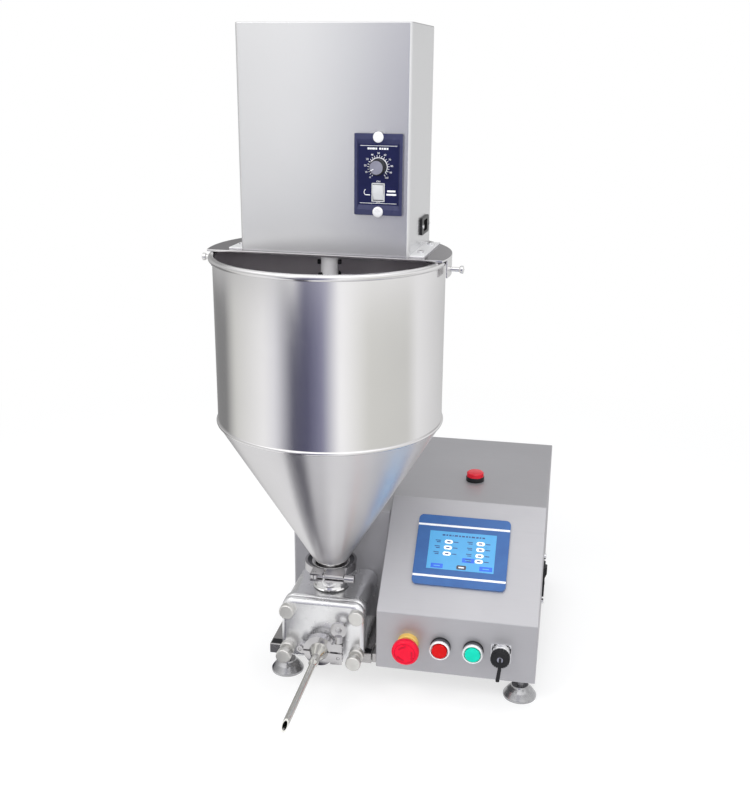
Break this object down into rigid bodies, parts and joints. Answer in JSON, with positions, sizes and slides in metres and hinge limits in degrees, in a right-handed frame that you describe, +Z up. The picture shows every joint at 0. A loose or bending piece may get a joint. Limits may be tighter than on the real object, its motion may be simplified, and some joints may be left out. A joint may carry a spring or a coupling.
{
  "type": "cream filling machine",
  "caption": "Tabletop stirred-hopper filling machine: servo gear pump with a needle nozzle, cone hopper with half lid and mixer box, cabinet with sloped touch panel.",
  "frame": {"origin": "middle of the machine's footprint, on the table under its feet", "axes": "+Z up, -Y towards the operator, +X towards the control cabinet's right side"},
  "size_m": [0.5084, 0.632, 0.9418],
  "materials": {
    "cabinet_steel": "satin brushed stainless sheet",
    "tray_steel": "polished stainless sheet",
    "hopper_steel": "polished stainless sheet",
    "pump_steel": "polished cast stainless steel",
    "clamp_steel": "bright polished stainless fittings",
    "bracket_steel": "bright stainless",
    "shaft_steel": "ground stainless",
    "seal_rubber": "white food grade rubber",
    "foot_steel": "polished steel bell feet",
    "drive_aluminium": "satin cast housings",
    "electronics_case": "matt cases",
    "touch_blue": "blue printed front film",
    "touch_glass": "lit display",
    "estop_yellow": "yellow collar",
    "estop_red": "red mushroom head",
    "estop_stem_grey": "dark stem",
    "button_chrome": "chromed bezels",
    "button_red": "red cap",
    "button_green": "green cap",
    "black_plastic": "black moulded plastic",
    "lamp_red": "red lens",
    "controller_navy": "dark navy moulded face",
    "rocker_grey": "light grey rocker"
  },
  "bodies": {
    "machine": {"control_cabinet": "cabinet_steel", "cabinet_back_panel": "cabinet_steel", "cabinet_floor": "cabinet_steel", "pump_tray": "tray_steel", "drive_housing": "cabinet_steel", "levelling_feet": "foot_steel", "cabinet_electronics": "electronics_case", "touch_panel": "touch_blue", "touch_screen": "touch_glass", "estop_collar": "estop_yellow", "button_bodies": "button_chrome", "pedal_socket": "button_chrome", "lamp_base": "black_plastic", "lamp_lens": "lamp_red", "mains_inlet": "black_plastic", "panel_screws": "bracket_steel", "pump_body": "pump_steel", "bearing_housing": "pump_steel", "pump_cover": "pump_steel", "cover_studs": "clamp_steel", "cover_nuts": "clamp_steel", "shaft_bearings": "shaft_steel", "rubber_seals": "seal_rubber", "drive_lantern": "drive_aluminium", "servo_gear_motor": "drive_aluminium", "hopper": "hopper_steel", "hopper_cone": "hopper_steel", "clamp_ferrules": "clamp_steel", "clamp_pins": "clamp_steel", "hopper_clamp_left": "clamp_steel", "hopper_clamp_right": "clamp_steel", "outlet_clamp_lower": "clamp_steel", "outlet_clamp_upper": "clamp_steel", "filling_nozzle": "clamp_steel"},
    "estop_plunger": {"estop_stem": "estop_stem_grey"},
    "estop_knob": {"estop_head": "estop_red"},
    "stop_button": {"stop_button_cap": "button_red"},
    "start_button": {"start_button_cap": "button_green"},
    "dust_cap": {"socket_dust_cap": "black_plastic"},
    "mains_switch": {"mains_rocker": "black_plastic"},
    "hopper_bolt": {"hopper_clamp_bolt": "clamp_steel"},
    "hopper_nut": {"hopper_clamp_nut": "clamp_steel"},
    "outlet_bolt": {"outlet_clamp_bolt": "clamp_steel"},
    "wing_nut": {"outlet_wing_nut": "clamp_steel"},
    "pump_drive": {"drive_rotor": "shaft_steel"},
    "pump_driven": {"driven_rotor": "shaft_steel"},
    "lid": {"half_lid": "hopper_steel", "motor_box": "cabinet_steel", "box_brackets": "bracket_steel", "bracket_screws": "bracket_steel", "mixer_gear_motor": "drive_aluminium", "speed_controller": "controller_navy", "mixer_inlet": "black_plastic"},
    "left_thumb": {"thumb_screw_left": "clamp_steel"},
    "right_thumb": {"thumb_screw_right": "clamp_steel"},
    "mixer": {"mixer_output_shaft": "shaft_steel", "stirrer_coupling": "shaft_steel", "stirrer": "shaft_steel"},
    "knob": {"speed_knob": "black_plastic"},
    "mixer_switch": {"mixer_rocker": "rocker_grey"}
  },
  "joints": [
    {"name": "estop_press", "type": "slide", "parent": "machine", "child": "estop_plunger", "axis": [0, 1, 0], "range_m": [0, 0.004], "stiffness_N_per_m": 800, "springref_m": -0.002},
    {"name": "estop_twist", "type": "hinge", "parent": "estop_plunger", "child": "estop_knob", "pos_m": [0.06125, -0.115, 0.083], "axis": [0, 1, 0], "range_deg": [0, 40], "stiffness_Nm_per_rad": 0.05, "springref_deg": -5.73},
    {"name": "stop_press", "type": "slide", "parent": "machine", "child": "stop_button", "axis": [0, 1, 0], "range_m": [0, 0.003], "stiffness_N_per_m": 500, "springref_m": -0.002},
    {"name": "start_press", "type": "slide", "parent": "machine", "child": "start_button", "axis": [0, 1, 0], "range_m": [0, 0.003], "stiffness_N_per_m": 500, "springref_m": -0.002},
    {"name": "dust_cap_pull", "type": "slide", "parent": "machine", "child": "dust_cap", "axis": [0, -1, 0], "range_m": [0, 0.02]},
    {"name": "mains_rock", "type": "hinge", "parent": "machine", "child": "mains_switch", "pos_m": [0.25126, 0.09, 0.1255], "axis": [0, 1, 0], "range_deg": [-20, 0]},
    {"name": "hopper_bolt_swing", "type": "hinge", "parent": "machine", "child": "hopper_bolt", "pos_m": [-0.08074, -0.09008, 0.1745], "axis": [0, 0, -1], "range_deg": [0, 95]},
    {"name": "hopper_nut_spin", "type": "hinge", "parent": "hopper_bolt", "child": "hopper_nut", "pos_m": [-0.06674, -0.09008, 0.1745], "axis": [1, 0, 0], "continuous": true},
    {"name": "outlet_bolt_swing", "type": "hinge", "parent": "machine", "child": "outlet_bolt", "pos_m": [-0.03807, -0.118, 0.061], "axis": [0, 1, 0], "range_deg": [0, 42]},
    {"name": "wing_nut_spin", "type": "hinge", "parent": "outlet_bolt", "child": "wing_nut", "pos_m": [-0.03807, -0.118, 0.07], "axis": [0, 0, 1], "continuous": true},
    {"name": "pump_drive_spin", "type": "hinge", "parent": "machine", "child": "pump_drive", "pos_m": [-0.08875, -0.09, 0.098], "axis": [0, 1, 0], "continuous": true},
    {"name": "pump_driven_spin", "type": "hinge", "parent": "machine", "child": "pump_driven", "pos_m": [-0.04475, -0.09, 0.098], "axis": [0, 1, 0], "continuous": true},
    {"name": "lid_lift", "type": "slide", "parent": "machine", "child": "lid", "axis": [0, 0, 1], "range_m": [0, 0.43]},
    {"name": "left_thumb_slide", "type": "slide", "parent": "lid", "child": "left_thumb", "axis": [-0.999, 0.0436, 0], "range_m": [0, 0.012]},
    {"name": "right_thumb_slide", "type": "slide", "parent": "lid", "child": "right_thumb", "axis": [0.999, -0.0436, 0], "range_m": [0, 0.012]},
    {"name": "stirrer_spin", "type": "hinge", "parent": "lid", "child": "mixer", "pos_m": [-0.06674, -0.0425, 0.6408], "axis": [0, 0, 1], "continuous": true},
    {"name": "knob_turn", "type": "hinge", "parent": "lid", "child": "knob", "pos_m": [0.0077, -0.07978, 0.7648], "axis": [0.0436, 0.999, 0], "range_deg": [-140, 140]},
    {"name": "mixer_rock", "type": "hinge", "parent": "lid", "child": "mixer_switch", "pos_m": [0.0077, -0.07978, 0.7323], "axis": [0.999, -0.0436, 0], "range_deg": [-20, 0]}
  ],
  "couplings": [
    {"joint": "pump_driven_spin", "follows": "pump_drive_spin", "ratio": -1}
  ]
}
